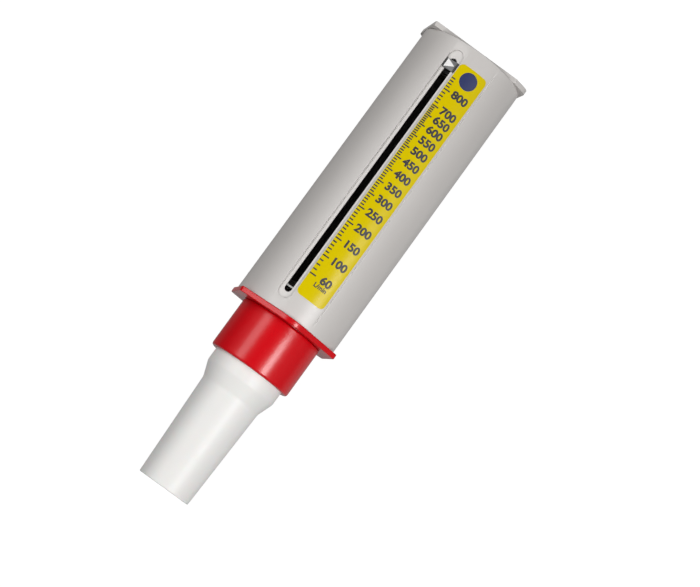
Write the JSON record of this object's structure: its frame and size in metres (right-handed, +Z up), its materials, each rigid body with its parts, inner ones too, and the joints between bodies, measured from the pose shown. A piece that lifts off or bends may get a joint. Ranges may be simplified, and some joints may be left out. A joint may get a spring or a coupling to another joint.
{
  "type": "peak flow meter",
  "caption": "Hand-held peak flow meter: blowing through the white mouthpiece drives a sprung piston, which pushes a pointer along the numbered scale.",
  "frame": {"origin": "middle of the bounding box's bottom, on the surface that the two six-sided flanges lie on", "axes": "+X along the tube from the mouthpiece to the far end, +Z up; the scale faces up and leans towards -Y"},
  "size_m": [0.2058, 0.0512, 0.0451],
  "materials": {
    "pale_shell": "smooth warm pale grey moulding",
    "yellow_label": "satin printed film",
    "red_shell": "glossy red moulding",
    "seal": "black rubber",
    "white_tube": "soft white moulding",
    "steel_rod": "ground steel",
    "clip_steel": "spring steel sheet",
    "nut_brass": "turned brass",
    "spring_steel": "drawn wire",
    "piston_white": "white moulding",
    "bush_resin": "dark bearing resin",
    "pointer_body": "white moulding with dark sides"
  },
  "bodies": {
    "housing": {"barrel": "pale_shell", "scale_label": "yellow_label", "nozzle": "red_shell", "nozzle_seal": "seal", "end_cap": "pale_shell", "guide_rod": "steel_rod", "rod_clip": "clip_steel", "rest_washer": "seal", "buffer_ring": "seal", "rod_nut": "nut_brass", "return_spring": "spring_steel"},
    "plunger": {"piston": "piston_white", "piston_bush": "bush_resin", "piston_clip": "clip_steel"},
    "indicator": {"pointer": "pointer_body", "pointer_keeper": "bush_resin", "keeper_pin": "steel_rod", "friction_spring": "spring_steel"},
    "blow_tube": {"mouthpiece": "white_tube"}
  },
  "joints": [
    {"name": "piston_slide", "type": "slide", "parent": "housing", "child": "plunger", "axis": [1, 0, 0], "range_m": [0, 0.1009], "stiffness_N_per_m": 10, "springref_m": -0.02, "deforming": ["return_spring"]},
    {"name": "pointer_slide", "type": "slide", "parent": "housing", "child": "indicator", "axis": [-1, 0, 0], "range_m": [-0.0007, 0.1009]},
    {"name": "mouthpiece_pull", "type": "slide", "parent": "housing", "child": "blow_tube", "axis": [-1, 0, 0], "range_m": [0, 0.017]}
  ]
}
